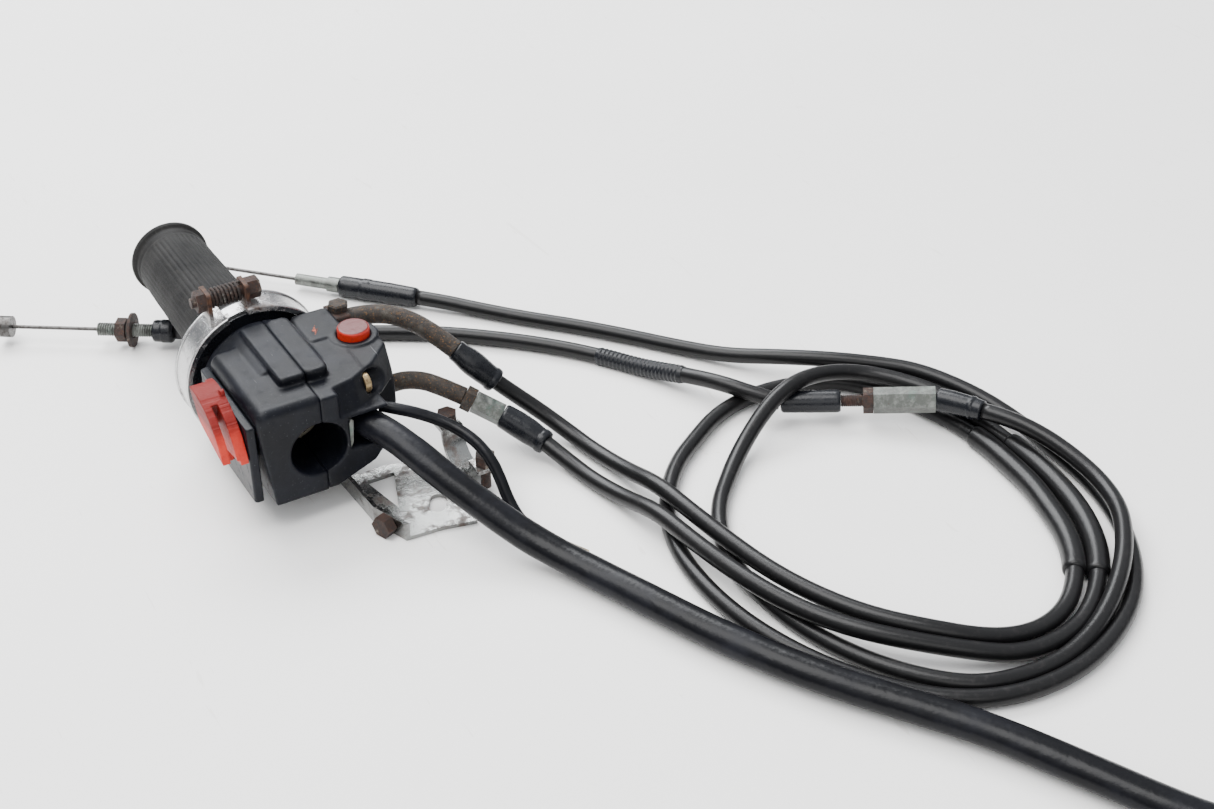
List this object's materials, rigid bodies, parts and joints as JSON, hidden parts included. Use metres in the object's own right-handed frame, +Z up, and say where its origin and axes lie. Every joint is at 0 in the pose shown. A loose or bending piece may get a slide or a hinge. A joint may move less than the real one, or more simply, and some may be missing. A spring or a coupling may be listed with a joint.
{
  "type": "motorcycle throttle grip",
  "caption": "Right-hand motorcycle throttle grip with split switch housing, start button, kill rocker, push-pull throttle cables, wiring loom and clamp bracket.",
  "frame": {"origin": "handlebar axis at the inboard face of the switch housing", "axes": "+Y outboard along the handlebar, +X to the side where the cables leave, +Z up while it lies on a table"},
  "size_m": [0.3372, 0.5188, 0.0686],
  "materials": {
    "black_plastic": "matte moulded",
    "red_plastic": "weathered",
    "grip_rubber": "worn matte",
    "hose_rubber": "satin",
    "cable_sheath": "satin extruded",
    "loom_pvc": "glossy",
    "rusty_steel": "rusted",
    "chrome": "pitted chrome",
    "zinc": "dull zinc plate",
    "brass": "dull",
    "spring_steel": "bright drawn",
    "nylon": "natural"
  },
  "bodies": {
    "housing": {"band_bridge": "chrome", "band_clamp": "chrome", "band_liner": "hose_rubber", "band_nut": "rusty_steel", "band_screw": "rusty_steel", "band_spring": "rusty_steel", "bracket_bolts": "rusty_steel", "bracket_edge_bolt": "rusty_steel", "bracket_plate": "chrome", "bracket_strap": "chrome", "brake_lead_terminal": "brass", "brake_switch_lead": "loom_pvc", "cable_coil": "cable_sheath", "cable_coil_inner": "cable_sheath", "exit_side_screw": "brass", "harness_clip": "zinc", "inline_boot": "hose_rubber", "inline_hex": "zinc", "inline_nut": "rusty_steel", "inline_sleeve": "hose_rubber", "inline_stud": "rusty_steel", "kill_pivot_pin": "rusty_steel", "kill_switch_cover": "black_plastic", "loom_connector": "nylon", "loom_sleeve": "loom_pvc", "lower_housing": "black_plastic", "pull_adjuster": "zinc", "pull_boot": "hose_rubber", "pull_cable_lead": "cable_sheath", "pull_cable_link": "cable_sheath", "pull_cable_tail": "cable_sheath", "pull_elbow": "rusty_steel", "pull_end_cap": "hose_rubber", "pull_end_nut": "rusty_steel", "pull_end_stud": "zinc", "pull_end_washer": "rusty_steel", "pull_locknut": "brass", "return_boot": "hose_rubber", "return_cable_lead": "cable_sheath", "return_cable_tail": "cable_sheath", "return_elbow": "rusty_steel", "return_elbow_bolt": "rusty_steel", "return_elbow_clamp": "rusty_steel", "return_end_boot": "hose_rubber", "return_ferrule": "zinc", "start_contacts": "brass", "start_switch_base": "nylon", "upper_housing": "black_plastic"},
    "throttle": {"throttle_tube": "nylon", "grip_rubber": "grip_rubber", "drum_nipples": "zinc"},
    "start_button": {"start_button": "red_plastic", "start_plunger": "brass", "start_spring": "spring_steel"},
    "kill_rocker": {"kill_rocker": "red_plastic"},
    "pull_wire": {"pull_wire": "spring_steel", "pull_nipple": "zinc"},
    "return_wire": {"return_wire": "spring_steel", "return_nipple": "zinc"}
  },
  "joints": [
    {"name": "throttle_twist", "type": "hinge", "parent": "housing", "child": "throttle", "pos_m": [0, 0.09, 0], "axis": [0, 1, 0], "range_deg": [0, 78], "stiffness_Nm_per_rad": 0.05, "springref_deg": -17.19},
    {"name": "start_press", "type": "slide", "parent": "housing", "child": "start_button", "axis": [0, 0, -1], "range_m": [0, 0.0025], "stiffness_N_per_m": 400, "springref_m": -0.001},
    {"name": "kill_rock", "type": "hinge", "parent": "housing", "child": "kill_rocker", "pos_m": [-0.031, 0.026, -0.002], "axis": [1, 0, 0], "range_deg": [-15, 15]},
    {"name": "pull_wire_slide", "type": "slide", "parent": "housing", "child": "pull_wire", "axis": [0.8323, -0.5544, 0], "range_m": [0, 0.02]},
    {"name": "return_wire_slide", "type": "slide", "parent": "housing", "child": "return_wire", "axis": [-0.6853, 0.7283, 0], "range_m": [0, 0.02]}
  ],
  "couplings": [
    {"joint": "pull_wire_slide", "follows": "throttle_twist", "m_per_rad": 0.0145},
    {"joint": "return_wire_slide", "follows": "throttle_twist", "m_per_rad": 0.0145}
  ]
}
